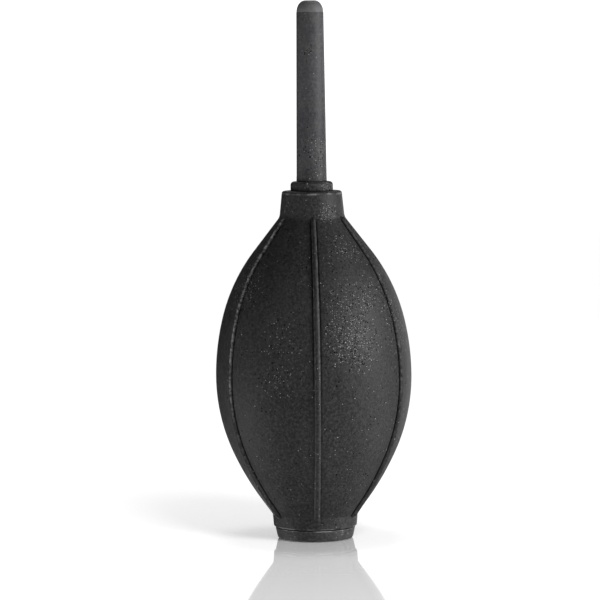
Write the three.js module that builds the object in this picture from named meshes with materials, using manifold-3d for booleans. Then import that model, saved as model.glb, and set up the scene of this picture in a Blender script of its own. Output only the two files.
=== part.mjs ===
// A dust blower bulb for watch repair. The rubber bulb has six ribs, a neck collar and a foot collar. A
// plug in its foot holds a one-way intake valve, and a flanged bush in its neck holds a one-way outlet
// valve and the push-in nozzle. Squeezing the bulb lifts the outlet disc; letting go lifts the intake disc.
// Millimetres, +Z up. The origin is the centre of the face it stands on, and one rib faces -Y.
import * as THREE from "three";
import { mergeVertices } from "three/addons/utils/BufferGeometryUtils.js";
import Module from "manifold-3d";

const wasm = await Module();
wasm.setup();

const { degToRad } = THREE.MathUtils;

// ---- Driving dimensions ----

const GAP = 0.3; // clearance between neighbouring pieces

// The bulb's meridian is, each way from the waist, two tangent arcs and then a straight cone. Angles are in
// degrees, between the outline's normal and the horizontal.
const BULB = {
  waistZ: 47.2,
  waistRadius: 28.2,
  wall: 2.8,
  upper: { nearRadius: 70, nearAngle: 14, farRadius: 52, farAngle: 37.7 },
  lower: { nearRadius: 53, nearAngle: 24.4, farRadius: 80, farAngle: 36 },
};
const RIB = { count: 6, width: 1.9, height: 0.8, rootDepth: 1.4, buriedInCollar: 0.7 };
const NECK = {
  topZ: 100.5,
  topRadius: 8.6,
  rootRadius: 9.35,
  boreRadius: 5.8,
  shoulderRadius: 7.4,
  edge: 0.8,
};
const FOOT = {
  bottomZ: 3.7,
  bottomRadius: 12,
  topRadius: 12.3,
  boreRadius: 8.5,
  shoulderRadius: 10.8,
  edge: 0.25,
};

const PLUG = {
  capBottomRadius: 10.8,
  capTopRadius: 11.55,
  capHeight: FOOT.bottomZ - GAP,
  edge: 0.9,
  shankRadius: FOOT.boreRadius - GAP,
  beadRadius: 9.4,
  beadHeight: 0.9,
  height: 12.7,
};
const GRILLE = { radius: 7, bottomZ: 0.7, thickness: 1.2, holeRadius: 0.8, holeCircle: 3.9, holes: 6 };
const FILTER = { radius: 6.9, thickness: 1.7 };
const FLANGE = { radius: 6.1, height: 2.4, edge: 0.9 };
const BUSH = { shankRadius: NECK.boreRadius - GAP, socketRadius: 3.75, beadRadius: 6.8, depth: 13.7 };
const NOZZLE = {
  baseRadius: 4.36,
  tipRadius: 3.84,
  length: 51.5,
  tipRoundWide: 2.55,
  tipRoundHigh: 3.3,
  boreRadius: 1.25,
  inletRadius: 1.9,
  spigotLength: 8.5,
};

// Each valve, upwards from the web that holds its seat.
const INTAKE = {
  webThickness: 1.4,
  holeRadius: 2.4,
  lipWidth: 0.8,
  lipHeight: 0.5,
  discRadius: 4.6,
  discThickness: 1,
  chamberRadius: 5.7,
  cageRadius: 5.9,
  cageThickness: 1.3,
  springRadius: 2.4,
  springHeight: 2.8,
  wireRadius: 0.225,
};
const OUTLET = {
  webThickness: 1.8,
  holeRadius: 1.4,
  lipWidth: 0.6,
  lipHeight: 0.4,
  discRadius: 2.5,
  discThickness: 0.9,
  chamberRadius: 3.2,
  cageRadius: BUSH.socketRadius - GAP,
  cageThickness: 1.2,
  springRadius: 1.6,
  springHeight: 2.6,
  wireRadius: 0.175,
};

// How finely round shapes are divided.
const BULB_SEGMENTS = 48;
const PLUG_SEGMENTS = 36;
const SMALL_SEGMENTS = 24;
const PLATE_SEGMENTS = 10;
const OUTSIDE_STEPS = 4;
const INSIDE_STEPS = 3;

// ---- Materials ----

const materials = {
  rubber: new THREE.MeshStandardMaterial({ color: 0x262627, roughness: 0.6, metalness: 0 }),
  nozzleRubber: new THREE.MeshStandardMaterial({ color: 0x3c3c3e, roughness: 0.55, metalness: 0 }),
  blackPlastic: new THREE.MeshStandardMaterial({ color: 0x2a2a2c, roughness: 0.5, metalness: 0 }),
  acetal: new THREE.MeshStandardMaterial({ color: 0xe4e2da, roughness: 0.4, metalness: 0 }),
  silicone: new THREE.MeshStandardMaterial({ color: 0xb8473a, roughness: 0.5, metalness: 0 }),
  foam: new THREE.MeshStandardMaterial({ color: 0x55585a, roughness: 0.95, metalness: 0 }),
  steel: new THREE.MeshStandardMaterial({ color: 0xb9bcc0, roughness: 0.3, metalness: 1 }),
};

// ---- Shared shapes ----

// A point of a turned profile: distance from the axis, and height.
function at(radius, z) {
  return new THREE.Vector2(radius, z);
}

// Points along an elliptical arc. Angles are in degrees from the outward direction.
function arc(centre, radiusWide, radiusHigh, from, to, steps) {
  return Array.from({ length: steps + 1 }, (_, i) => {
    const angle = degToRad(from + ((to - from) * i) / steps);
    return at(centre.x + radiusWide * Math.cos(angle), centre.y + radiusHigh * Math.sin(angle));
  });
}

// A solid turned about Z from a profile that is either closed here or starts and ends on the axis.
function turned(profile, segments = SMALL_SEGMENTS) {
  const onAxis = profile[0].x === 0 && profile.at(-1).x === 0;
  const points = onAxis ? profile : [...profile, profile[0].clone()];
  return new THREE.LatheGeometry(points, segments).rotateX(Math.PI / 2);
}

// A flat plate on the XY plane, with holes cut through it.
function plate(outline, holes, thickness) {
  outline.holes = holes;
  return new THREE.ExtrudeGeometry(outline, {
    depth: thickness,
    bevelEnabled: false,
    curveSegments: PLATE_SEGMENTS,
  });
}

function circle(radius, x = 0, y = 0) {
  return new THREE.Shape().absarc(x, y, radius, 0, 2 * Math.PI);
}

function toSolid(geometry) {
  const bare = geometry.clone();
  bare.deleteAttribute("normal");
  bare.deleteAttribute("uv");
  const merged = mergeVertices(bare);
  const vertProperties = new Float32Array(merged.attributes.position.array);
  const triVerts = new Uint32Array(merged.index.array);
  return new wasm.Manifold(new wasm.Mesh({ numProp: 3, vertProperties, triVerts }));
}

function toGeometry(solid) {
  const { vertProperties, triVerts } = solid.getMesh();
  const geometry = new THREE.BufferGeometry();
  geometry.setAttribute("position", new THREE.BufferAttribute(vertProperties, 3));
  geometry.setIndex(new THREE.BufferAttribute(triVerts, 1));
  geometry.computeVertexNormals();
  return geometry;
}

// ---- Bulb ----

// One half of the bulb's meridian, from the waist to where it has narrowed to endRadius. side is 1 for the
// upper half and -1 for the lower, and inset moves the line that far into the wall.
function halfMeridian(half, side, inset, endRadius, steps) {
  const near = at(BULB.waistRadius - half.nearRadius, BULB.waistZ);
  const [far] = arc(near, half.nearRadius - half.farRadius, half.nearRadius - half.farRadius,
    side * half.nearAngle, side * half.nearAngle, 1);
  const nearArc = half.nearRadius - inset;
  const farArc = half.farRadius - inset;
  const points = [
    ...arc(near, nearArc, nearArc, 0, side * half.nearAngle, steps),
    ...arc(far, farArc, farArc, side * half.nearAngle, side * half.farAngle, steps).slice(1),
  ];
  const last = points.at(-1);
  points.push(at(endRadius, last.y + (side * (last.x - endRadius)) / Math.tan(degToRad(half.farAngle))));
  return points;
}

// The whole meridian, from the foot up to the neck.
function meridian(inset, footRadius, neckRadius, steps) {
  const lower = halfMeridian(BULB.lower, -1, inset, footRadius, steps).reverse();
  const upper = halfMeridian(BULB.upper, 1, inset, neckRadius, steps);
  return [...lower, ...upper.slice(1)];
}

const cavity = meridian(BULB.wall, FOOT.shoulderRadius, NECK.shoulderRadius, INSIDE_STEPS);
const footShoulderZ = cavity[0].y;
const neckShoulderZ = cavity.at(-1).y;

function bulbShell() {
  return turned(
    [
      at(FOOT.boreRadius, FOOT.bottomZ),
      at(FOOT.bottomRadius - FOOT.edge, FOOT.bottomZ),
      at(FOOT.bottomRadius, FOOT.bottomZ + FOOT.edge),
      ...meridian(0, FOOT.topRadius, NECK.rootRadius, OUTSIDE_STEPS),
      ...arc(at(NECK.topRadius - NECK.edge, NECK.topZ - NECK.edge), NECK.edge, NECK.edge, 0, 90, 3),
      at(NECK.boreRadius, NECK.topZ),
      at(NECK.boreRadius, neckShoulderZ),
      ...cavity.toReversed(),
      at(FOOT.boreRadius, footShoulderZ),
    ],
    BULB_SEGMENTS,
  );
}

// A rib is a crescent plate that stands in a meridian plane: its back is buried in the wall and its two ends
// are buried in the collars.
function rib(index) {
  const footRadius = FOOT.topRadius - RIB.buriedInCollar;
  const neckRadius = NECK.rootRadius - RIB.buriedInCollar;
  const crest = meridian(-RIB.height, footRadius, neckRadius, OUTSIDE_STEPS);
  const root = meridian(RIB.rootDepth, footRadius, neckRadius, INSIDE_STEPS).reverse();
  const outline = new THREE.Shape([...crest, ...root]);
  return new THREE.ExtrudeGeometry(outline, { depth: RIB.width, bevelEnabled: false })
    .translate(0, 0, -RIB.width / 2)
    .rotateX(Math.PI / 2)
    .rotateZ(degToRad(-90 + (360 / RIB.count) * index));
}

function bulb() {
  let solid = toSolid(bulbShell());
  for (let i = 0; i < RIB.count; i++) solid = solid.add(toSolid(rib(i)));
  return toGeometry(solid);
}

// ---- Valves ----

// The heights of a valve's pieces above the underside of the web that holds its seat.
function valveLevels(valve) {
  const seat = valve.webThickness + valve.lipHeight;
  const disc = seat + GAP;
  const spring = disc + valve.discThickness + GAP;
  const cage = spring + valve.springHeight + GAP;
  return { seat, disc, spring, step: cage - GAP, cage, top: cage + valve.cageThickness };
}

// The part of a holder's profile that forms the valve: from its chamber's top step, down to the raised seat
// lip, and out through the hole to the web's underside.
function seatProfile(valve, webZ) {
  const levels = valveLevels(valve);
  const floorZ = webZ + valve.webThickness;
  return [
    at(valve.chamberRadius, webZ + levels.step),
    at(valve.chamberRadius, floorZ),
    at(valve.holeRadius + valve.lipWidth, floorZ),
    at(valve.holeRadius + valve.lipWidth, webZ + levels.seat),
    at(valve.holeRadius, webZ + levels.seat),
    at(valve.holeRadius, webZ),
  ];
}

function valveDisc(valve) {
  const { discRadius: radius, discThickness: top } = valve;
  const edge = top / 4;
  return turned([
    at(0, 0),
    at(radius - edge, 0),
    at(radius, edge),
    at(radius, top - edge),
    at(radius - edge, top),
    at(0, top),
  ]);
}

class Helix extends THREE.Curve {
  constructor(radius, height, turns) {
    super();
    Object.assign(this, { radius, height, turns });
  }

  getPoint(t, target = new THREE.Vector3()) {
    const angle = 2 * Math.PI * this.turns * t;
    return target.set(this.radius * Math.cos(angle), this.radius * Math.sin(angle), this.height * t);
  }
}

function valveSpring(valve) {
  const turns = 4;
  const stepsPerTurn = 12;
  const wire = circle(valve.wireRadius);
  const path = new Helix(valve.springRadius, valve.springHeight - 2 * valve.wireRadius, turns);
  return new THREE.ExtrudeGeometry(wire, { steps: turns * stepsPerTurn, curveSegments: 3, extrudePath: path })
    .translate(0, 0, valve.wireRadius);
}

// The cage stops the disc's lift and holds the spring down. Four windows let the air through.
function valveCage(valve) {
  const windows = 4;
  const spokeAngle = 0.35;
  const hub = valve.springRadius * 0.55;
  const rim = valve.cageRadius * 0.8;
  const holes = Array.from({ length: windows }, (_, i) => {
    const from = (2 * Math.PI * i) / windows + spokeAngle / 2;
    const to = (2 * Math.PI * (i + 1)) / windows - spokeAngle / 2;
    return new THREE.Path().absarc(0, 0, rim, from, to).absarc(0, 0, hub, to, from, true).closePath();
  });
  return plate(circle(valve.cageRadius), holes, valve.cageThickness);
}

// ---- Foot ----

const filterZ = GRILLE.bottomZ + GRILLE.thickness + GAP;
const plugWebZ = filterZ + FILTER.thickness + GAP;
const intakeLevels = valveLevels(INTAKE);

// Two shallow grooves leave three barbs on a shank between bottomZ and topZ.
function barbs(radius, bottomZ, topZ) {
  const depth = 0.35;
  const pitch = (topZ - bottomZ) / 3;
  return [0, 1].flatMap((i) => {
    const z = bottomZ + pitch * (i + 0.7);
    return [at(radius, z), at(radius - depth, z), at(radius, z + pitch * 0.6)];
  });
}

function basePlug() {
  const pocketRadius = GRILLE.radius + GAP;
  const grilleLip = { radius: GRILLE.radius - 0.2, z: 0.35, top: 0.55 };
  const cageLip = { radius: INTAKE.cageRadius - 0.1, drop: 0.15 };
  const beadBottomZ = footShoulderZ + GAP;
  const cageTopZ = plugWebZ + intakeLevels.top;
  const mouthRadius = INTAKE.cageRadius + GAP;
  return turned(
    [
      at(grilleLip.radius, grilleLip.z),
      at(pocketRadius, 0),
      ...arc(at(PLUG.capBottomRadius - PLUG.edge, PLUG.edge), PLUG.edge, PLUG.edge, -90, -10, 3),
      at(PLUG.capTopRadius, PLUG.capHeight - FOOT.edge),
      at(PLUG.capTopRadius - FOOT.edge, PLUG.capHeight),
      at(PLUG.shankRadius, PLUG.capHeight),
      ...barbs(PLUG.shankRadius, PLUG.capHeight, beadBottomZ),
      at(PLUG.shankRadius, beadBottomZ),
      at(PLUG.beadRadius, beadBottomZ),
      at(PLUG.beadRadius, beadBottomZ + PLUG.beadHeight),
      at(PLUG.shankRadius, PLUG.height),
      at(mouthRadius, PLUG.height),
      at(cageLip.radius, PLUG.height - cageLip.drop),
      at(mouthRadius, cageTopZ + cageLip.drop),
      at(mouthRadius, plugWebZ + intakeLevels.step),
      ...seatProfile(INTAKE, plugWebZ),
      at(pocketRadius, plugWebZ),
      at(pocketRadius, grilleLip.top),
    ],
    PLUG_SEGMENTS,
  );
}

function intakeGrille() {
  const { radius, thickness, holeRadius, holeCircle, holes } = GRILLE;
  const ring = Array.from({ length: holes }, (_, i) => {
    const angle = (2 * Math.PI * i) / holes;
    return circle(holeRadius, holeCircle * Math.cos(angle), holeCircle * Math.sin(angle));
  });
  return plate(circle(radius), [circle(holeRadius), ...ring], thickness);
}

function intakeFilter() {
  const { radius, thickness } = FILTER;
  return turned([at(0, 0), at(radius, 0), at(radius, thickness), at(0, thickness)]);
}

// ---- Head: modelled from the top face of the neck ----

const outletLevels = valveLevels(OUTLET);
const bushWebZ = -BUSH.depth;
const flangeTopZ = GAP + FLANGE.height;

function neckBush() {
  const beadTopZ = neckShoulderZ - NECK.topZ - GAP;
  const noseRadius = 5;
  const beadHeight = 1.5;
  const mouthEdge = 0.2;
  return turned([
    at(OUTLET.holeRadius, bushWebZ),
    at(noseRadius, bushWebZ),
    at(BUSH.beadRadius, beadTopZ - beadHeight),
    at(BUSH.beadRadius, beadTopZ),
    at(BUSH.shankRadius, beadTopZ),
    ...barbs(BUSH.shankRadius, beadTopZ, 0),
    at(BUSH.shankRadius, GAP),
    at(FLANGE.radius, GAP),
    ...arc(at(FLANGE.radius - FLANGE.edge, flangeTopZ - FLANGE.edge), FLANGE.edge, FLANGE.edge, 0, 90, 3),
    at(BUSH.socketRadius + mouthEdge, flangeTopZ),
    at(BUSH.socketRadius, flangeTopZ - mouthEdge),
    at(BUSH.socketRadius, bushWebZ + outletLevels.step),
    ...seatProfile(OUTLET, bushWebZ).slice(0, -1),
  ]);
}

// The nozzle, from the shoulder that stands on the bush's flange.
function nozzle() {
  const spigotRadius = BUSH.socketRadius - GAP;
  const noseEdge = 0.4;
  const { tipRoundWide, tipRoundHigh, length, spigotLength } = NOZZLE;
  const roundCentre = at(NOZZLE.tipRadius - tipRoundWide, length - tipRoundHigh);
  return turned([
    at(NOZZLE.inletRadius, -spigotLength),
    at(spigotRadius - noseEdge, -spigotLength),
    ...barbs(spigotRadius, -spigotLength + noseEdge, -noseEdge),
    at(spigotRadius, 0),
    at(NOZZLE.baseRadius, 0),
    ...arc(roundCentre, tipRoundWide, tipRoundHigh, 0, 90, 5),
    at(NOZZLE.boreRadius, length - NOZZLE.boreRadius / 4),
    at(NOZZLE.boreRadius, length - tipRoundHigh),
  ]);
}

// ---- Assembly ----

function mesh(name, geometry, material, z = 0) {
  const made = new THREE.Mesh(geometry, material);
  made.name = name;
  made.position.z = z;
  return made;
}

// A valve's loose pieces, on a group whose origin is the underside of the seat's web.
function valve(prefix, sizes, webZ) {
  const levels = valveLevels(sizes);
  const group = new THREE.Group();
  group.position.z = webZ;
  group.add(
    mesh(`${prefix}_disc`, valveDisc(sizes), materials.silicone, levels.disc),
    mesh(`${prefix}_spring`, valveSpring(sizes), materials.steel, levels.spring),
    mesh(`${prefix}_cage`, valveCage(sizes), materials.acetal, levels.cage),
  );
  return group;
}

const foot = new THREE.Group();
foot.add(
  mesh("base_plug", basePlug(), materials.blackPlastic),
  mesh("intake_grille", intakeGrille(), materials.blackPlastic, GRILLE.bottomZ),
  mesh("intake_filter", intakeFilter(), materials.foam, filterZ),
  valve("intake", INTAKE, plugWebZ),
);

const head = new THREE.Group();
head.position.z = NECK.topZ;
head.add(
  mesh("neck_bush", neckBush(), materials.blackPlastic),
  valve("outlet", OUTLET, bushWebZ),
  mesh("nozzle", nozzle(), materials.nozzleRubber, flangeTopZ + GAP),
);

const blower = new THREE.Group();
blower.add(mesh("bulb", bulb(), materials.rubber), foot, head);

export default blower;
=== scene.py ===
# The looks of a dust blower bulb: a black rubber bulb with six ribs, its push-in nozzle and its foot plug,
# with the two valves inside, on a pale glossy floor.
# Shapes are worked out in millimetres, in the part's own frame, and turned into metres as meshes are made.
import math

import bmesh
import bpy
from mathutils import Matrix, Vector


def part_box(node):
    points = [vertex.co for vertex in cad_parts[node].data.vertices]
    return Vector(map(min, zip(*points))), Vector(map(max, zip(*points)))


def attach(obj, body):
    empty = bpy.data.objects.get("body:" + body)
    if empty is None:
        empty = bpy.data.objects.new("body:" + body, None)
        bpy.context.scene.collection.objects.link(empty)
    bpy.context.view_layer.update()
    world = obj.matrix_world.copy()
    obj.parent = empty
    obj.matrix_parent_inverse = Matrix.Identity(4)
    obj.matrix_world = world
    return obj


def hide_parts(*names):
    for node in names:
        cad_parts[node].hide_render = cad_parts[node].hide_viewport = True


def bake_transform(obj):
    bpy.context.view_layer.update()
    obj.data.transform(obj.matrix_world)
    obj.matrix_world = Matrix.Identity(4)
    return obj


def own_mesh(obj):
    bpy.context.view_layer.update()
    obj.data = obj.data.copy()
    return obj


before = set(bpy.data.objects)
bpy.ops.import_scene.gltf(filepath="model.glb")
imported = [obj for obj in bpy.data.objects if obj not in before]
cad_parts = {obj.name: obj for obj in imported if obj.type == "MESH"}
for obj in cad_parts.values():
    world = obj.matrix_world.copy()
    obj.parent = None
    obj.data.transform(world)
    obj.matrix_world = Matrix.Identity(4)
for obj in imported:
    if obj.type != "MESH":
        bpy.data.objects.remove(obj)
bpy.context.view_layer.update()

# ---- Sizes ----

MM = 0.001
GAP = 0.3  # clearance between neighbouring pieces in the frame
SEAM = 0.04  # what is left of it between pieces that are pressed together


def size_of(node):
    """A node's bottom, top and outer radius, in millimetres."""
    low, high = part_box(node)
    return low.z / MM, high.z / MM, high.x / MM


BULB_BOTTOM, BULB_TOP, BULB_RADIUS = size_of("bulb")
PLUG_BOTTOM, PLUG_TOP, PLUG_RADIUS = size_of("base_plug")
BUSH_BOTTOM, BUSH_TOP, BUSH_BEAD = size_of("neck_bush")
NOZZLE_BOTTOM, NOZZLE_TOP, NOZZLE_RADIUS = size_of("nozzle")
RIB_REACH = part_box("bulb")[1].y / MM

# The bulb's meridian: two tangent arcs and a cone each way from the waist. An arc is its radius and the
# angle, in degrees from the horizontal, at which its outline's normal ends.
WAIST = 47.2
WALL = 2.8
UPPER_ARCS = ((70, 14), (52, 37.7))
LOWER_ARCS = ((53, 24.4), (80, 36))

NECK_ROOT = 9.35
NECK_RIM = 8.6
NECK_BORE = 5.8
FOOT_ROOT = 12.3
FOOT_RIM = 12
FOOT_BORE = 8.5
NECK_FILLET = 3
FOOT_FILLET = 0.35

RIB_COUNT = 6
RIB_WIDTH = 1.9  # below the bulb's shoulder; a rib narrows from there to its head
RIB_HEAD_WIDTH = 1.4
RIB_HEIGHT = RIB_REACH - BULB_RADIUS
RIB_SHOULDER = 65
RIB_PAINTED_GLINT = (0.22, 0.3, 0.4, 0.5, 0.4, 1)  # how strong the painted highlight on each rib's shoulders is, counted from the front one to the right
RIB_LOW_END = BULB_BOTTOM + 2.6
RIB_HIGH_END = BULB_TOP - 7.2
CREASE_DEPTH = 0.32
CREASE_WIDTH = 0.7


# ---- Outlines, as lists of (radius, height) ----

def arc(centre, radius, start, end, steps):
    """Points on an arc. Angles are in degrees from the outward direction."""
    turn = [math.radians(start + (end - start) * i / steps) for i in range(steps + 1)]
    return [(centre[0] + radius * math.cos(a), centre[1] + radius * math.sin(a)) for a in turn]


def half_meridian(arcs, side, inset, end_radius):
    """Half of the bulb's outline, from its waist to where it is end_radius: up for side 1, down for -1."""
    (near_radius, near_angle), (far_radius, far_angle) = arcs
    near = (BULB_RADIUS - near_radius, WAIST)
    far = arc(near, near_radius - far_radius, side * near_angle, side * near_angle, 1)[0]
    points = arc(near, near_radius - inset, 0, side * near_angle, 24)
    points += arc(far, far_radius - inset, side * near_angle, side * far_angle, 24)[1:]
    last_radius, last_z = points[-1]
    slope = math.tan(math.radians(far_angle))
    return points + [(end_radius, last_z + side * (last_radius - end_radius) / slope)]


def meridian(inset, foot_radius, neck_radius):
    """The bulb's outline from its foot up to its neck."""
    lower = half_meridian(LOWER_ARCS, -1, inset, foot_radius)
    return lower[::-1] + half_meridian(UPPER_ARCS, 1, inset, neck_radius)[1:]


def cavity():
    """The outline of the bulb's hollow, from its foot up to its neck."""
    return meridian(WALL, FOOT_BORE + 2.3, NECK_BORE + 1.6)


def radius_at(outline, z):
    """The radius of a rising outline at a height, carried on straight past its ends."""
    for (r0, z0), (r1, z1) in zip(outline, outline[1:]):
        if z <= z1:
            break
    return r0 + (r1 - r0) * (z - z0) / (z1 - z0)


def rounded(corners, closed, steps=5):
    """An outline with its corners rounded. A corner is (radius, height) or (radius, height, rounding)."""
    points = []
    for i, corner in enumerate(corners):
        here = Vector(corner[:2])
        rounding = corner[2] if len(corner) > 2 else 0
        inside = closed or 0 < i < len(corners) - 1
        if not rounding or not inside:
            points.append(tuple(here))
            continue
        back = Vector(corners[i - 1][:2]) - here
        ahead = Vector(corners[(i + 1) % len(corners)][:2]) - here
        half = back.angle(ahead) / 2
        if math.pi / 2 - half < 0.01:
            points.append(tuple(here))
            continue
        reach = min(rounding / math.tan(half), 0.48 * back.length, 0.48 * ahead.length)
        start, end = here + back.normalized() * reach, here + ahead.normalized() * reach
        centre = here + (back.normalized() + ahead.normalized()).normalized() * reach / math.cos(half)
        first, last = start - centre, end - centre
        sweep = math.pi - 2 * half
        for step in range(steps + 1):
            a, b = math.sin(sweep * (1 - step / steps)), math.sin(sweep * step / steps)
            points.append(tuple(centre + (first * a + last * b) / math.sin(sweep)))
    return points


def divided(points, closed, spacing):
    """The same outline with no step longer than spacing(z)."""
    result = []
    ends = points[1:] + points[:1] if closed else points[1:]
    for (r0, z0), (r1, z1) in zip(points, ends):
        length = math.hypot(r1 - r0, z1 - z0)
        count = max(1, math.ceil(length / spacing((z0 + z1) / 2)))
        result += [(r0 + (r1 - r0) * k / count, z0 + (z1 - z0) * k / count) for k in range(count)]
    return result if closed else result + [points[-1]]


def barbs(radius, low, high):
    """Corners of a shank with two shallow grooves, which leave three barbs."""
    pitch = (high - low) / 3
    corners = []
    for i in range(2):
        z = low + pitch * (i + 0.7)
        corners += [(radius, z, 0.08), (radius - 0.35, z, 0.08), (radius, z + pitch * 0.6, 0.1)]
    return corners


# ---- Meshes ----

def new_piece(name, vertices, faces, sharp_angle=38):
    """A smooth-shaded object from vertices in millimetres, with its faces turned outwards."""
    mesh = bpy.data.meshes.new(name)
    mesh.from_pydata([Vector(v) * MM for v in vertices], [], faces)
    work = bmesh.new()
    work.from_mesh(mesh)
    bmesh.ops.recalc_face_normals(work, faces=work.faces)
    if work.calc_volume(signed=True) < 0:
        bmesh.ops.reverse_faces(work, faces=work.faces)
    work.to_mesh(mesh)
    work.free()
    mesh.polygons.foreach_set("use_smooth", [True] * len(mesh.polygons))
    mesh.set_sharp_from_angle(angle=math.radians(sharp_angle))
    piece = bpy.data.objects.new(name, mesh)
    bpy.context.scene.collection.objects.link(piece)
    return piece


def rings_to_faces(rings, closed):
    """Quads between rings of vertex numbers; a ring of one vertex is a pole."""
    faces = []
    pairs = list(zip(rings, rings[1:])) + ([(rings[-1], rings[0])] if closed else [])
    for low, high in pairs:
        count = max(len(low), len(high))
        for k in range(count):
            nxt = (k + 1) % count
            quad = [low[k % len(low)], low[nxt % len(low)], high[nxt % len(high)], high[k % len(high)]]
            faces.append(list(dict.fromkeys(quad)))
    return faces


def turned(name, corners, closed=True, columns=96, spacing=1.5):
    """A solid turned about the axis from the corners of its outline."""
    outline = divided(rounded(corners, closed), closed, lambda z: spacing)
    vertices, rings = [], []
    for radius, z in outline:
        if radius < 1e-6:
            rings.append([len(vertices)])
            vertices.append((0, 0, z))
            continue
        rings.append(list(range(len(vertices), len(vertices) + columns)))
        turn = [2 * math.pi * k / columns for k in range(columns)]
        vertices += [(radius * math.cos(a), radius * math.sin(a), z) for a in turn]
    return new_piece(name, vertices, rings_to_faces(rings, closed))


def swept(name, path, radius, sides=12):
    """A round wire along a path, with rounded ends."""
    vertices, rings = [], []
    side = Vector((0, 0, 1))
    cap = [(1 - math.cos(a), math.sin(a)) for a in (0.35, 0.8, 1.2)]
    stations = [(0, -(1 - k) * radius, s) for k, s in cap]
    stations += [(i, 0, 1) for i in range(len(path))]
    stations += [(len(path) - 1, (1 - k) * radius, s) for k, s in reversed(cap)]
    first_pole, last_pole = None, None
    for index, along, share in stations:
        here = path[index]
        tangent = (path[min(index + 1, len(path) - 1)] - path[max(index - 1, 0)]).normalized()
        side = (side - tangent * side.dot(tangent)).normalized()
        up = tangent.cross(side)
        centre = here + tangent * along
        if first_pole is None:
            first_pole = here - tangent * radius
        last_pole = here + tangent * radius
        rings.append(list(range(len(vertices), len(vertices) + sides)))
        for k in range(sides):
            a = 2 * math.pi * k / sides
            vertices.append(centre + (side * math.cos(a) + up * math.sin(a)) * radius * share)
    rings = [[len(vertices)]] + rings + [[len(vertices) + 1]]
    vertices += [first_pole, last_pole]
    return new_piece(name, vertices, rings_to_faces(rings, False), sharp_angle=60)


def plate(name, outlines, low, high, edge):
    """A flat plate filled between closed outlines, with its edges rounded."""
    curve = bpy.data.curves.new(name, "CURVE")
    curve.dimensions = "2D"
    curve.fill_mode = "BOTH"
    curve.extrude = ((high - low) / 2 - edge) * MM
    curve.bevel_depth = edge * MM
    curve.bevel_resolution = 3
    curve.offset = -edge * MM
    for outline in outlines:
        spline = curve.splines.new("POLY")
        spline.points.add(len(outline) - 1)
        spline.use_cyclic_u = True
        for point, (x, y) in zip(spline.points, outline):
            point.co = (x * MM, y * MM, 0, 1)
    holder = bpy.data.objects.new(name, curve)
    mesh = bpy.data.meshes.new_from_object(holder)
    bpy.data.objects.remove(holder)
    work = bmesh.new()
    work.from_mesh(mesh)
    bmesh.ops.remove_doubles(work, verts=work.verts, dist=1e-6)
    bmesh.ops.translate(work, verts=work.verts, vec=(0, 0, (low + high) / 2 * MM))
    vertices = [v.co / MM for v in work.verts]
    work.verts.index_update()
    faces = [[v.index for v in face.verts] for face in work.faces]
    work.free()
    bpy.data.meshes.remove(mesh)
    return new_piece(name, vertices, faces)


def circle(radius, x=0, y=0, count=48):
    """Points round a circle about (x, y)."""
    turn = [2 * math.pi * k / count for k in range(count)]
    return [(x + radius * math.cos(a), y + radius * math.sin(a)) for a in turn]


# ---- Bulb ----

def rib_half(z):
    """Half of a rib's width at a height."""
    share = min(1, max(0, (z - RIB_SHOULDER) / (RIB_HIGH_END - RIB_SHOULDER)))
    return (RIB_WIDTH + (RIB_HEAD_WIDTH - RIB_WIDTH) * share) / 2


def rib_columns(z):
    """The sideways places of the columns across one rib and its two creases."""
    half = rib_half(z)
    outside = [half + CREASE_WIDTH * share for share in (1, 0.7, 0.45, 0.25, 0.1)]
    inside = [half * share for share in (1, 0.95, 0.88, 0.8, 0.7, 0.58, 0.45, 0.3, 0.15)]
    across = outside + inside
    return [-x for x in across] + [0] + across[::-1]


def rib_share(sideways, z):
    """How far the surface stands up on a rib, from 0 on the bulb to 1 on the crest, as a rounded bead."""
    half = rib_half(z)
    past = max(0, z - (RIB_HIGH_END - half), (RIB_LOW_END + half) - z)
    rise = min(1, max(0, 1 - math.hypot(sideways, past) / half))
    roundness = 2.4
    return 1 - (1 - rise) ** roundness


def end_share(z):
    """1 along a rib, fading to 0 at its two ends."""
    inside = min(z - RIB_LOW_END, RIB_HIGH_END - z)
    return min(1, max(0, inside / RIB_WIDTH))


def crease_share(sideways, z):
    """How deep the crease at the rib's foot is, from 0 to 1, which also sets how black it is painted as
    shade: wide on the bulb, and narrow on the rib.
    """
    outside = abs(sideways) - rib_half(z)
    reach_on_rib = 0.12
    reach = CREASE_WIDTH if outside > 0 else reach_on_rib
    return end_share(z) * max(0, 1 - abs(outside) / reach) ** 2


def front_crease_share(z):
    """The front rib's creases are shallower and painted less black as shade than the others, more so
    towards the foot.
    """
    deepest, least, low, length = 0.75, 0.3, 20, 50
    return deepest * min(1, max(least, (z - low) / length))


def painted_glint_share(sideways, z):
    """How strong the painted highlight on a rib is, from 0 to 1: most on a rib's two shoulders, and less
    near the foot.
    """
    place, reach = 0.72 * rib_half(z), 0.25
    shoulder = max(0, 1 - abs(abs(sideways) - place) / reach)
    least, low, length = 0.2, 32, 15
    return end_share(z) * min(1, max(least, (z - low) / length)) * shoulder


def bulb_outline():
    """The closed outline of the bulb's wall, outside and inside."""
    skin = meridian(0, FOOT_ROOT, NECK_ROOT)
    hollow = cavity()
    outside = [
        (FOOT_BORE, BULB_BOTTOM, 0.2),
        (FOOT_RIM, BULB_BOTTOM, 0.3),
        (*skin[0], FOOT_FILLET),
        *[(*p, 0) for p in skin[1:-1]],
        (*skin[-1], NECK_FILLET),
        (NECK_RIM, BULB_TOP, 0.75),
        (NECK_BORE, BULB_TOP, 0.3),
    ]
    inside = [
        (NECK_BORE, hollow[-1][1], 0.2),
        (*hollow[-1], 0.3),
        *[(*p, 0) for p in hollow[-2:0:-1]],
        (*hollow[0], 0.3),
        (FOOT_BORE, hollow[0][1], 0.2),
    ]
    return rounded(outside + inside, True)


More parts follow.
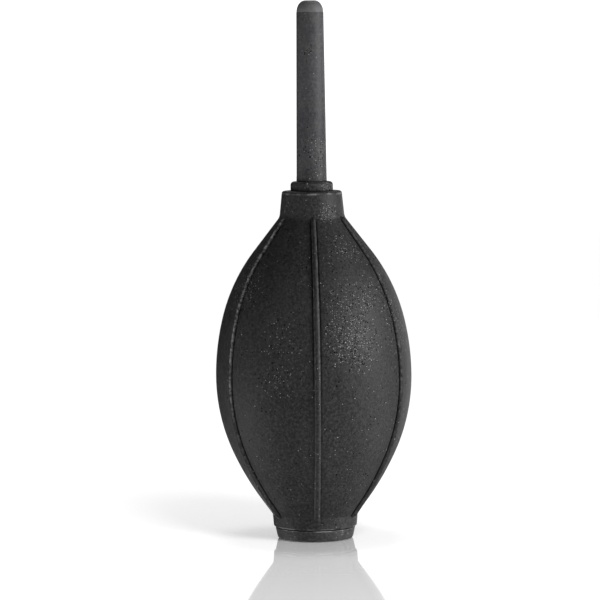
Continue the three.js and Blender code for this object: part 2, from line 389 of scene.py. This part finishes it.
def bulb_spacing(z):
    """Rows are close together at the ribs' ends and further apart elsewhere."""
    near_end = min(abs(z - RIB_LOW_END), abs(z - RIB_HIGH_END)) < 2
    return 0.2 if near_end else 1.05


def bulb_shell():
    """One closed rubber wall, with the ribs raised on its outside and a crease on each side of them."""
    crest = meridian(-RIB_HEIGHT, FOOT_ROOT - 0.7, NECK_ROOT - 0.7)
    middle = meridian(WALL / 2, FOOT_BORE + 3, NECK_BORE + 2.6)
    outline = divided(bulb_outline(), True, bulb_spacing)
    panel_steps = 16
    sector = 2 * math.pi / RIB_COUNT
    vertices, rings, creases, painted_glints = [], [], [], []
    for radius, z in outline:
        outer = radius > radius_at(middle, z)
        on_ribs = outer and RIB_LOW_END - 1 < z < RIB_HIGH_END + 1
        rise = max(0, radius_at(crest, z) - radius) if on_ribs else 0
        across = rib_columns(z)
        start = len(vertices)
        for rib in range(RIB_COUNT):
            facing = -math.pi / 2 + rib * sector
            for sideways in across:
                share = rib_share(sideways, z) if on_ribs else 0
                # The crease share cuts the crease into the wall and, stored on the points, also paints it
                # black as shade.
                crease = crease_share(sideways, z) if on_ribs else 0
                crease *= 1 if rib else front_crease_share(z)
                out = math.sqrt(radius ** 2 - sideways ** 2) + rise * share - CREASE_DEPTH * crease
                vertices.append((
                    out * math.cos(facing) - sideways * math.sin(facing),
                    out * math.sin(facing) + sideways * math.cos(facing),
                    z,
                ))
                creases.append(crease)
                painted_glints.append(RIB_PAINTED_GLINT[rib] * painted_glint_share(sideways, z) if on_ribs else 0)
            edge = math.asin(across[-1] / radius)
            for step in range(1, panel_steps):
                angle = facing + edge + (sector - 2 * edge) * step / panel_steps
                vertices.append((radius * math.cos(angle), radius * math.sin(angle), z))
                creases.append(0)
                painted_glints.append(0)
        rings.append(list(range(start, len(vertices))))
    shell = new_piece("bulb_shell", vertices, rings_to_faces(rings, True), sharp_angle=50)
    # Stored on the points: the crease share, which also paints shade, and the painted highlight on the
    # ribs' shoulders.
    for name, values in (("crease", creases), ("painted_glint", painted_glints)):
        shell.data.attributes.new(name, "FLOAT", "POINT").data.foreach_set("value", values)
    return shell


# ---- Foot: plug, grille and filter ----

def base_plug():
    """The foot's cap and its barbed shank, which holds the grille below and the intake valve above."""
    grille_low, _, grille_radius = size_of("intake_grille")
    filter_high = size_of("intake_filter")[1]
    disc_low = size_of("intake_disc")[0]
    cage_low, cage_high, cage_radius = size_of("intake_cage")
    cap_top = BULB_BOTTOM - GAP
    shank = FOOT_BORE - GAP
    bead, bead_low = 9.4, cavity()[0][1] + GAP
    pocket = grille_radius + GAP
    mouth = cage_radius + GAP
    web_low = filter_high + GAP
    web_high = web_low + 1.4
    seat = disc_low - GAP
    chamber, hole, lip = 5.7, 2.4, 3.2
    return turned("foot_plug", [
        (grille_radius - 0.2, grille_low / 2, 0.06),
        (pocket, PLUG_BOTTOM, 0.12),
        (10.8, PLUG_BOTTOM, 0.95),
        (PLUG_RADIUS, cap_top, 0.22),
        (shank, cap_top, 0.15),
        *barbs(shank, cap_top, bead_low),
        (shank, bead_low, 0.1),
        (bead, bead_low, 0.15),
        (bead, bead_low + 0.9, 0.25),
        (shank, PLUG_TOP, 0.3),
        (mouth, PLUG_TOP, 0.15),
        (cage_radius - 0.1, PLUG_TOP - 0.15, 0.05),
        (mouth, cage_high + 0.15, 0.05),
        (mouth, cage_low - GAP, 0.1),
        (chamber, cage_low - GAP, 0.1),
        (chamber, web_high, 0.25),
        (lip, web_high, 0.1),
        (lip, seat, 0.12),
        (hole, seat, 0.12),
        (hole, web_low, 0.15),
        (pocket, web_low, 0.2),
        (pocket, grille_low - 0.15, 0.08),
    ], columns=144, spacing=0.9)


def intake_grille():
    """A round plate with a ring of air holes about a middle one."""
    low, high, radius = size_of("intake_grille")
    holes, hole_radius, hole_circle = 6, 0.8, 3.9
    ring = [2 * math.pi * k / holes for k in range(holes)]
    places = [(0, 0)] + [(hole_circle * math.cos(a), hole_circle * math.sin(a)) for a in ring]
    outlines = [circle(radius, count=96)] + [circle(hole_radius, x, y, 32) for x, y in places]
    return plate("intake_grille_plate", outlines, low, high, edge=0.15)


def intake_filter():
    """A foam disc, pinched a little at its edge."""
    low, high, radius = size_of("intake_filter")
    return turned("filter_pad", [(0, low), (radius, low + 0.1, 0.4), (radius, high - 0.1, 0.4), (0, high)],
                  closed=False, columns=96, spacing=0.4)


# ---- Valves ----

def valve_disc(node, name):
    """A soft disc with a rounded rim and a shallow dished middle."""
    low, high, radius = size_of(node)
    dish = 0.12
    return turned(name, [
        (0, low),
        (radius, low, 0.28),
        (radius, high, 0.28),
        (radius * 0.6, high, 0.5),
        (radius * 0.35, high - dish, 0.5),
        (0, high - dish),
    ], closed=False, spacing=0.4)


def valve_spring(node, name, wire):
    """A coil spring with closed ends."""
    low, high, radius = size_of(node)
    turns, closed_turns, steps_per_turn = 5, 0.9, 40
    bottom, top = low + wire / 2, high - wire / 2
    closed_rise = wire * 0.95 * closed_turns
    steps = turns * steps_per_turn
    path = []
    for i in range(steps + 1):
        turn = turns * i / steps
        if turn < closed_turns:
            z = bottom + closed_rise * turn / closed_turns
        elif turn > turns - closed_turns:
            z = top - closed_rise * (turns - turn) / closed_turns
        else:
            share = (turn - closed_turns) / (turns - 2 * closed_turns)
            z = bottom + closed_rise + (top - bottom - 2 * closed_rise) * share
        angle = 2 * math.pi * turn
        reach = radius - wire / 2
        path.append(Vector((reach * math.cos(angle), reach * math.sin(angle), z)))
    return swept(name, path, wire / 2)


def valve_cage(node, name, spring_radius):
    """A round stop with four windows between a hub and a rim."""
    low, high, radius = size_of(node)
    windows, spoke, hub, rim = 4, 0.35, spring_radius * 0.55, radius * 0.8
    outlines = [circle(radius, count=96)]
    for window in range(windows):
        start = 360 * window / windows + math.degrees(spoke / 2)
        end = 360 * (window + 1) / windows - math.degrees(spoke / 2)
        outlines.append(arc((0, 0), rim, start, end, 20) + arc((0, 0), hub, end, start, 12))
    return plate(name, outlines, low, high, edge=0.12)


# ---- Head: bush and nozzle ----

def neck_bush():
    """The flange on the neck, its barbed shank, and the socket and valve seat inside."""
    disc_low = size_of("outlet_disc")[0]
    cage_low = size_of("outlet_cage")[0]
    flange = 6.1
    flange_low = BULB_TOP + SEAM
    shank = NECK_BORE - GAP
    bead_top = cavity()[-1][1] - GAP
    socket = 3.75
    seat = disc_low - GAP
    web_high = BUSH_BOTTOM + 1.8
    chamber, hole, lip = 3.2, 1.4, 2
    return turned("neck_flange", [
        (hole, BUSH_BOTTOM, 0.15),
        (5, BUSH_BOTTOM, 0.3),
        (BUSH_BEAD, bead_top - 1.5, 0.25),
        (BUSH_BEAD, bead_top, 0.15),
        (shank, bead_top, 0.1),
        *barbs(shank, bead_top, BULB_TOP),
        (shank, flange_low, 0.1),
        (flange, flange_low, 0.3),
        (flange, BUSH_TOP, 1),
        (socket, BUSH_TOP, 0.2),
        (socket, cage_low - GAP, 0.1),
        (chamber, cage_low - GAP, 0.1),
        (chamber, web_high, 0.2),
        (lip, web_high, 0.1),
        (lip, seat, 0.1),
        (hole, seat, 0.1),
    ], columns=128, spacing=0.8)


def nozzle():
    """The tapered tube, from its barbed spigot to its domed tip, with a fine step under the dome."""
    spigot = 3.75 - GAP
    shoulder = BUSH_TOP + SEAM
    tip_radius, bore, inlet = 3.84, 1.25, 1.9
    dome_wide, dome_high, step = 2.55, 3.3, 0.05
    dome_base = NOZZLE_TOP - dome_high
    dome = [(tip_radius - dome_wide + dome_wide * math.cos(math.radians(a)),
             dome_base + dome_high * math.sin(math.radians(a)), 0) for a in range(6, 90, 6)]
    return turned("nozzle_tube", [
        (inlet, NOZZLE_BOTTOM, 0.2),
        (spigot - 0.4, NOZZLE_BOTTOM, 0.15),
        *barbs(spigot, NOZZLE_BOTTOM + 0.4, shoulder - 0.4),
        (spigot, shoulder, 0.08),
        (NOZZLE_RADIUS, shoulder, 0.15),
        (tip_radius + step, dome_base - 0.1, 0.03),
        (tip_radius, dome_base, 0.03),
        *dome,
        (bore + 0.08, NOZZLE_TOP, 0.05),
        (bore, NOZZLE_TOP - 0.35, 0.1),
        (bore, dome_base, 0.5),
    ], columns=96, spacing=0.8)


# ---- Materials ----

class Finish:
    """A material, and short calls that add to its node tree."""

    def __init__(self, name, **sockets):
        self.material = bpy.data.materials.new(name)
        self.material.use_nodes = True
        self.tree = self.material.node_tree
        self.surface = self.tree.nodes["Principled BSDF"]
        for socket, value in sockets.items():
            self.surface.inputs[socket.replace("_", " ")].default_value = value
        self.place = self.node("ShaderNodeTexCoord").outputs["Object"]

    def node(self, kind, inputs=None, **settings):
        """A new node with its settings made and its inputs fed."""
        made = self.tree.nodes.new(kind)
        for setting, value in settings.items():
            setattr(made, setting, value)
        for socket, value in (inputs or {}).items():
            self.feed(made.inputs[socket], value)
        return made

    def feed(self, socket, value):
        """Links another node's output to a socket, or sets the socket's own value."""
        if isinstance(value, bpy.types.NodeSocket):
            self.tree.links.new(value, socket)
        else:
            socket.default_value = value

    def maths(self, operation, a, b):
        """One operation on two values."""
        return self.node("ShaderNodeMath", {0: a, 1: b}, operation=operation).outputs[0]

    def noise(self, size, detail, roughness=0.5):
        """Noise whose features are about size metres across."""
        inputs = {"Vector": self.place, "Scale": 1 / size, "Detail": detail, "Roughness": roughness}
        return self.node("ShaderNodeTexNoise", inputs).outputs["Fac"]

    def span(self, value, low, high, to_low=0.0, to_high=1.0):
        """value mapped from low..high to to_low..to_high, and held there."""
        inputs = {"Value": value, "From Min": low, "From Max": high, "To Min": to_low, "To Max": to_high}
        return self.node("ShaderNodeMapRange", inputs).outputs["Result"]

    def mix(self, share, a, b, blend_type="MIX"):
        """Colour a turned into colour b by a share."""
        made = self.node("ShaderNodeMix", data_type="RGBA", blend_type=blend_type)
        for socket, value in ((made.inputs[0], share), (made.inputs[6], a), (made.inputs[7], b)):
            self.feed(socket, value)
        return made.outputs[2]

    def attribute(self, name):
        """A value stored on the mesh's points."""
        return self.node("ShaderNodeAttribute", attribute_name=name).outputs["Fac"]

    def height(self):
        """Height above the floor, in millimetres."""
        z = self.node("ShaderNodeSeparateXYZ", {0: self.place}).outputs["Z"]
        return self.maths("DIVIDE", z, MM)

    def patches(self, centres):
        """A sum of soft balls: (degrees round from +X, radius out, height, reach, strength), in mm."""
        total = 0.0
        for turn, out, z, reach, strength in centres:
            angle = math.radians(turn)
            centre = (out * MM * math.cos(angle), out * MM * math.sin(angle), z * MM)
            away = self.node("ShaderNodeVectorMath", {0: self.place, 1: centre}, operation="DISTANCE")
            soft = self.span(away.outputs["Value"], reach * MM, 0.2 * reach * MM, 0.0, strength)
            total = self.maths("ADD", soft, total)
        return total

    def specks(self, size, density, radius):
        """Small round specks, one at most in each cell of that size. Density is the share of cells used."""
        cells = self.node("ShaderNodeTexVoronoi", {"Vector": self.place, "Scale": 1 / size})
        chance = self.node("ShaderNodeSeparateColor", {0: cells.outputs["Color"]})
        chosen = self.maths("LESS_THAN", chance.outputs["Red"], density)
        reach = self.span(chance.outputs["Green"], 0.0, 1.0, 0.6 * radius / size, radius / size)
        near = self.maths("SUBTRACT", reach, cells.outputs["Distance"])
        strength = self.span(chance.outputs["Blue"], 0.0, 1.0, 0.35, 1.0)
        return self.maths("MULTIPLY", self.maths("MULTIPLY", chosen, strength), self.span(near, 0.0, 0.07))

    def colour(self, value):
        """Feeds the surface's colour; roughness, gloss and bump feed its other sockets."""
        self.feed(self.surface.inputs["Base Color"], value)

    def roughness(self, value):
        self.feed(self.surface.inputs["Roughness"], value)

    def gloss(self, value):
        self.feed(self.surface.inputs["Specular IOR Level"], value)

    def bump(self, height, distance, strength=1.0):
        inputs = {"Height": height, "Distance": distance * MM, "Strength": strength}
        made = self.node("ShaderNodeBump", inputs)
        self.feed(self.surface.inputs["Normal"], made.outputs["Normal"])


COOL_BLACK = (1.03, 0.98, 1.12)
WARM_BLACK = (1.03, 0.99, 0.99)


def tinted(level, tint):
    """A tint made as dark as level."""
    return tuple(level * share for share in tint) + (1,)


def grey(level):
    """A neutral colour."""
    return (level, level, level, 1)


def dusty_rubber(name, level, dust, base_dust=0.024, paints_crease_shade=False, painted_highlight_bands=(), smudge=0.12, grain=1.0):
    """Matte black rubber: mottled, finely grained and pitted, each pit painted black as painted shade, and
    dusted with pale specks where dust says.

    When its creases are shaded, it reads two values stored on the bulb: one paints its creases black as
    painted shade, the other paints pale lines on the ribs' shoulders as painted highlights. A highlight
    band is its lowest and highest height, in millimetres, how strong it is and how broken: a pale line
    painted along an edge as a painted highlight. Smudge is how far the broad mottling goes up and down.
    """
    finish = Finish(name)
    # Black for painted shade, pale grey for painted highlights.
    painted_shade_black, painted_highlight_grey = grey(0.001), grey(0.3)
    cool_warm = finish.span(finish.height(), 60, 95)
    drift = finish.span(finish.noise(0.016, 3.0), 0.32, 0.68, 1 - smudge, 1 + smudge)
    colour = finish.mix(cool_warm, tinted(level, WARM_BLACK), tinted(level, COOL_BLACK))
    colour = finish.mix(1.0, colour, drift, blend_type="MULTIPLY")
    mottle = finish.noise(0.004, 4.0, 0.6)
    colour = finish.mix(finish.span(mottle, 0.35, 0.8), colour, grey(level * 1.4))
    fine = finish.noise(0.0007, 3.0, 0.75)
    colour = finish.mix(finish.span(fine, 0.5, 0.7, 0.0, grain), colour, grey(level * 2.6))
    colour = finish.mix(finish.span(fine, 0.48, 0.32, 0.0, grain), colour, grey(level * 0.3))
    if paints_crease_shade:
        # Painted shade: the creases beside the ribs are painted black.
        crease = finish.span(finish.attribute("crease"), 0.05, 0.7, 0.0, 0.95)
        colour = finish.mix(crease, colour, painted_shade_black)
        # Painted highlight: broken pale lines along the ribs' shoulders.
        streak = finish.span(finish.noise(0.001, 2.0, 0.6), 0.42, 0.6, 0.1, 1.0)
        painted_glint_mask = finish.maths("MULTIPLY", finish.attribute("painted_glint"), streak)
        colour = finish.mix(finish.maths("MULTIPLY", painted_glint_mask, 0.8), colour, painted_highlight_grey)
    # Painted highlights: pale broken lines along edges, where light catches them.
    for low, high, strength, broken in painted_highlight_bands:
        z = finish.height()
        fade = 0.05
        band = finish.maths("MULTIPLY", finish.span(z, low, low + fade), finish.span(z, high, high - fade))
        gaps = finish.span(finish.noise(0.003, 2.0), 0.45, 0.62, 1 - broken, 1.0)
        band_highlight = finish.maths("MULTIPLY", finish.maths("MULTIPLY", band, gaps), strength)
        colour = finish.mix(band_highlight, colour, painted_highlight_grey)
    density = finish.maths("ADD", finish.patches(dust), base_dust)
    pale = finish.maths("MAXIMUM", finish.specks(0.0007, density, 0.00021),
                        finish.specks(0.0005, density, 0.00017))
    # Painted shade: each pit is painted black; its dip also goes into the bump.
    pits_and_shade = finish.specks(0.0006, finish.maths("MULTIPLY", density, 1.3), 0.00028)
    colour = finish.mix(pits_and_shade, colour, painted_shade_black)
    colour = finish.mix(finish.maths("MULTIPLY", pale, 0.9), colour, grey(0.32))
    bloom = finish.maths("MULTIPLY", finish.maths("SUBTRACT", density, base_dust), 0.02)
    colour = finish.mix(bloom, colour, grey(0.5))
    finish.colour(colour)
    finish.roughness(finish.span(fine, 0.3, 0.8, 0.48, 0.66))
    # Pit and crease hollows also lose their gloss, as painted shade.
    hollow = finish.maths("MAXIMUM", pits_and_shade, crease) if paints_crease_shade else pits_and_shade
    finish.gloss(finish.span(hollow, 0.0, 1.0, 0.23, 0.0))
    relief = finish.maths("SUBTRACT", finish.maths("ADD", fine, pale), pits_and_shade)
    finish.bump(relief, 0.12)
    return finish.material


def moulded(name, colour, roughness, grain=0.15):
    """Plain moulded plastic or silicone with a slight surface grain."""
    finish = Finish(name, Roughness=roughness)
    mottle = finish.noise(0.002, 3.0, 0.6)
    shade = tuple(c * 0.8 for c in colour[:3]) + (1,)
    finish.colour(finish.mix(finish.span(mottle, 0.3, 0.7), colour, shade))
    finish.roughness(finish.span(mottle, 0.3, 0.7, roughness * 0.85, min(1, roughness * 1.2)))
    finish.bump(finish.noise(0.0003, 2.0), 0.03, grain)
    return finish.material


def foam(name):
    """Open-cell foam: dark pores in a grey web."""
    finish = Finish(name, Roughness=0.95)
    cells = finish.node("ShaderNodeTexVoronoi", {"Vector": finish.place, "Scale": 1 / 0.0006})
    pore = finish.span(cells.outputs["Distance"], 0.15, 0.55)
    finish.colour(finish.mix(pore, grey(0.015), grey(0.11)))
    finish.bump(pore, 0.25, 0.9)
    return finish.material


def spring_wire(name):
    """Bright drawn wire with faint streaks."""
    finish = Finish(name, Metallic=1.0, Roughness=0.28)
    streaks = finish.noise(0.0002, 2.0)
    finish.colour(finish.mix(streaks, (0.55, 0.56, 0.58, 1), (0.72, 0.72, 0.73, 1)))
    finish.roughness(finish.span(streaks, 0.3, 0.7, 0.2, 0.36))
    return finish.material


# Where dust lies on each piece, as Finish.patches reads it.
BULB_DUST = (
    (-67, 26, 59, 10, 1),
    (-66, 25, 69, 9, 0.5),
    (-58, 18, 85, 7, 0.45),
    (-54, 22, 32, 3, 0.5),
    (-114, 27, 48, 6, 0.35),
    (-114, 26, 60, 8, 0.22),
    (-62, 9.3, 94.5, 3.5, 1),
    (-28, 24, 62, 9, 0.5),
    (-40, 22, 72, 8, 0.4),
    (-150, 21, 74, 9, 0.4),
)
HEAD_DUST = ((-48, 6, 101.5, 3, 1),)
NOZZLE_DUST = ((-80, 4.3, 113, 4, 0.6), (-60, 4.3, 107, 4, 0.25), (-95, 4, 140, 3, 0.3))
PLUG_DUST = ((-45, 11, 3, 5, 0.2), (-135, 11, 1, 3, 0.3))


def finishes():
    """Every material, by the name of the record's slot."""
    seam = BULB_BOTTOM - GAP
    # Painted highlights: pale lines on the bulb's bottom edge, on the top edge of its neck and on the foot
    # cap's top edge, and a paler nozzle dome.
    collar_edge_highlights = [(BULB_BOTTOM, BULB_BOTTOM + 0.3, 0.5, 0.9), (BULB_TOP - 0.95, BULB_TOP - 0.4, 0.32, 1)]
    seam_edge_highlight = [(seam - 0.3, seam, 0.7, 0.9)]
    dome = [(NOZZLE_TOP - 3.4, NOZZLE_TOP + 1, 0.27, 0.3)]
    return {
        "bulb_rubber": dusty_rubber("bulb_rubber", 0.015, BULB_DUST, paints_crease_shade=True, painted_highlight_bands=collar_edge_highlights),
        "foot_rubber": dusty_rubber("foot_rubber", 0.021, PLUG_DUST, painted_highlight_bands=seam_edge_highlight),
        "nozzle_rubber": dusty_rubber("nozzle_rubber", 0.034, NOZZLE_DUST, base_dust=0.008, painted_highlight_bands=dome,
                                      smudge=0.35, grain=0.5),
        "bush_plastic": dusty_rubber("bush_plastic", 0.022, HEAD_DUST),
        "black_plastic": moulded("black_plastic", grey(0.02), 0.45),
        "white_plastic": moulded("white_plastic", (0.72, 0.7, 0.64, 1), 0.4),
        "valve_silicone": moulded("valve_silicone", (0.42, 0.04, 0.025, 1), 0.5),
        "filter_foam": foam("filter_foam"),
        "spring_steel": spring_wire("spring_steel"),
    }


# ---- Assembly ----

def fit(piece, node, slot, body, looks):
    """Gives a piece its finish, lets it stand for its CAD node, and puts it on its body."""
    piece.data.materials.clear()
    piece.data.materials.append(looks[slot])
    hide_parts(node)
    if body:
        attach(piece, body)
    return piece


def build():
    """Every piece of the blower, on its body."""
    looks = finishes()
    shell = fit(bulb_shell(), "bulb", "bulb_rubber", None, looks)
    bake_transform(shell)
    fit(base_plug(), "base_plug", "foot_rubber", "foot", looks)
    fit(intake_grille(), "intake_grille", "black_plastic", "foot", looks)
    fit(intake_filter(), "intake_filter", "filter_foam", "foot", looks)
    fit(neck_bush(), "neck_bush", "bush_plastic", "head", looks)
    fit(nozzle(), "nozzle", "nozzle_rubber", "nozzle", looks)
    for side, holder, wire in (("intake", "foot", 0.45), ("outlet", "head", 0.35)):
        flap = valve_disc(f"{side}_disc", f"{side}_flap")
        fit(flap, f"{side}_disc", "valve_silicone", f"{side}_disc", looks)
        coil = valve_spring(f"{side}_spring", f"{side}_coil", wire)
        fit(coil, f"{side}_spring", "spring_steel", holder, looks)
        low, high, radius = size_of(f"{side}_spring")
        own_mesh(coil)
        cage = valve_cage(f"{side}_cage", f"{side}_stop", radius)
        fit(cage, f"{side}_cage", "white_plastic", holder, looks)


# ---- Studio ----

# Metres, degrees, and millimetres for the lens.
CAMERA_DISTANCE = 0.9668
CAMERA_HEIGHT = 0.1468
CAMERA_PITCH = 4.6
CAMERA_TURN = 1.9
CAMERA_ROLL = 0.64
CAMERA_SIDESTEP = 0.00373
LENS = 202.0


def camera():
    """A long lens at the nozzle's height, a little left of the front rib and looking slightly down."""
    data = bpy.data.cameras.new("camera")
    data.lens = LENS
    data.clip_end = 50
    made = bpy.data.objects.new("camera", data)
    bpy.context.scene.collection.objects.link(made)
    around = Matrix.Rotation(math.radians(-CAMERA_TURN), 4, "Z")
    stand = Matrix.Translation((-CAMERA_SIDESTEP, -CAMERA_DISTANCE, CAMERA_HEIGHT))
    tilt = Matrix.Rotation(math.radians(90 - CAMERA_PITCH), 4, "X")
    roll = Matrix.Rotation(math.radians(-CAMERA_ROLL), 4, "Z")
    made.matrix_world = around @ stand @ tilt @ roll
    bpy.context.scene.camera = made


def shines_on(light, name, receivers):
    """Keeps a light, or a glowing object, to the receivers alone."""
    group = bpy.data.collections.get(name) or bpy.data.collections.new(name)
    for made in receivers:
        if made.name not in group.objects:
            group.objects.link(made)
    light.light_linking.receiver_collection = group
    return group


def softbox(name, turn, lift, distance, width, height, power):
    """A rectangular light aimed at the bulb. Turn is degrees from the front to the right; lift is up."""
    data = bpy.data.lights.new(name, "AREA")
    data.shape = "RECTANGLE"
    data.size, data.size_y = width, height
    data.energy = power
    made = bpy.data.objects.new(name, data)
    bpy.context.scene.collection.objects.link(made)
    turn, lift = math.radians(turn), math.radians(lift)
    away = Vector((math.sin(turn) * math.cos(lift), -math.cos(turn) * math.cos(lift), math.sin(lift)))
    target = Vector((0, 0, 0.06))
    made.location = target + away * distance
    made.rotation_euler = away.to_track_quat("Z", "Y").to_euler()
    return made


def floor():
    """A glossy table, lit until it is white."""
    half = 2500
    corners = [(-half, -half, 0), (half, -half, 0), (half, half, 0), (-half, half, 0)]
    ground = new_piece("floor", corners, [(0, 1, 2, 3)])
    finish = Finish("floor", Roughness=0.05)
    finish.colour(grey(0.24))
    ground.data.materials.append(finish.material)
    ground.visible_glossy = False  # mirrored in the rubber at a low angle, it would give the bulb pale rims
    return ground


def backdrop():
    """A big pale glowing dome round the table."""
    radius, rows, columns = 2400, 16, 48
    rings = [[0]]
    vertices = [(0, 0, radius)]
    for row in range(1, rows + 1):
        a = math.radians(96 * row / rows)
        rings.append(list(range(len(vertices), len(vertices) + columns)))
        for k in range(columns):
            b = 2 * math.pi * k / columns
            vertices.append((radius * math.sin(a) * math.cos(b), radius * math.sin(a) * math.sin(b),
                             radius * math.cos(a)))
    dome = new_piece("backdrop", vertices, rings_to_faces(rings, False))
    finish = Finish("backdrop", Roughness=1.0, Emission_Strength=1.28, Emission_Color=(1, 1, 1, 1))
    finish.colour((0, 0, 0, 1))
    dome.data.materials.append(finish.material)
    return dome


def studio(pieces):
    """Studio light. The dome and two of the softboxes are for the table alone, so that they don't wash out
    the black rubber. The bounces stand for the light that comes up from the table, and pass through it."""
    scene = bpy.context.scene
    scene.view_settings.view_transform = "Standard"
    world = bpy.data.worlds.new("studio")
    scene.world = world
    world.use_nodes = True
    world.node_tree.nodes["Background"].inputs["Color"].default_value = (1, 1, 1, 1)
    world.node_tree.nodes["Background"].inputs["Strength"].default_value = 0.12
    table = [floor()]
    shines_on(backdrop(), "table", table)
    for light in (
        softbox("table_front", 24, 42, 1.1, 0.35, 0.35, 38),
        softbox("table_top", 175, 86, 1.1, 0.35, 0.35, 14.5),
    ):
        shines_on(light, "table", table)
    for light in (
        softbox("key", 69, 18, 1.1, 0.32, 0.6, 14.5),
        softbox("fill", -46, 22, 1.1, 0.5, 0.6, 2.6),
        softbox("front", 8, 30, 1.1, 0.5, 0.5, 1.4),
        softbox("back", 180, 45, 1.2, 0.6, 0.5, 3),
        softbox("back_right", 145, -3, 1.2, 0.6, 0.6, 2),
    ):
        shines_on(light, "blower", pieces)
    for light in (
        softbox("bounce_left", -95, -26, 1.1, 0.8, 0.6, 4.5),
        softbox("bounce_right", 86, -28, 1.1, 0.8, 0.6, 5),
        softbox("bounce_back", 180, -40, 1.2, 0.9, 0.6, 6),
        softbox("bounce_front", 10, -45, 1.1, 0.9, 0.9, 2.5),
    ):
        light.light_linking.blocker_collection = shines_on(light, "blower", pieces)


camera()
build()
studio([made for made in bpy.context.scene.objects if made.type == "MESH"])
